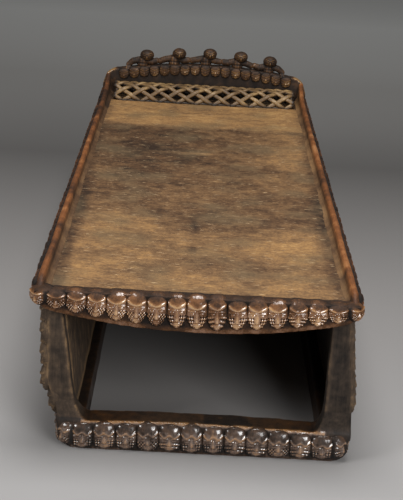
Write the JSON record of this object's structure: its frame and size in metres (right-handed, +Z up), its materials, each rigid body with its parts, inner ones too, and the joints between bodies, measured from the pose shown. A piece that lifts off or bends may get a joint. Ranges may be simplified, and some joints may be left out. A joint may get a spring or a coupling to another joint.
{
  "type": "ceremonial bed",
  "caption": "Low carved wooden bed with raised rims, friezes of carved heads, a lattice headrest, a headboard with figures, and walls on a base ring.",
  "frame": {"origin": "on the floor, under the middle of the whole bed", "axes": "+Y along the bed from the foot to the headboard, +Z up, +X to the right as seen from the foot end"},
  "size_m": [0.68, 1.96, 0.5028],
  "materials": {
    "deck_wood": "worn bare wood with a dull patina",
    "rim_wood": "dark handled patina, glossy on the high points",
    "wall_wood": "dark matte weathered wood",
    "base_wood": "dark patina, glossy on the high points",
    "headrest_wood": "pale worn wood, satin",
    "figure_wood": "dark handled patina, satin"
  },
  "bodies": {
    "root": {"deck_slab": "deck_wood", "left_rim": "rim_wood", "right_rim": "rim_wood", "foot_rim": "rim_wood", "headboard": "rim_wood", "headrest": "headrest_wood", "headboard_figure_1": "figure_wood", "headboard_figure_2": "figure_wood", "headboard_figure_3": "figure_wood", "headboard_figure_4": "figure_wood", "headboard_figure_5": "figure_wood", "foot_left_post": "wall_wood", "foot_right_post": "wall_wood", "head_left_post": "wall_wood", "head_right_post": "wall_wood", "left_side_post_1": "wall_wood", "left_side_post_2": "wall_wood", "right_side_post_1": "wall_wood", "right_side_post_2": "wall_wood", "left_panel_1": "wall_wood", "left_panel_2": "wall_wood", "left_panel_3": "wall_wood", "right_panel_1": "wall_wood", "right_panel_2": "wall_wood", "right_panel_3": "wall_wood", "foot_base_rail": "base_wood", "head_base_rail": "base_wood", "left_base_rail": "base_wood", "right_base_rail": "base_wood"}
  },
  "joints": []
}
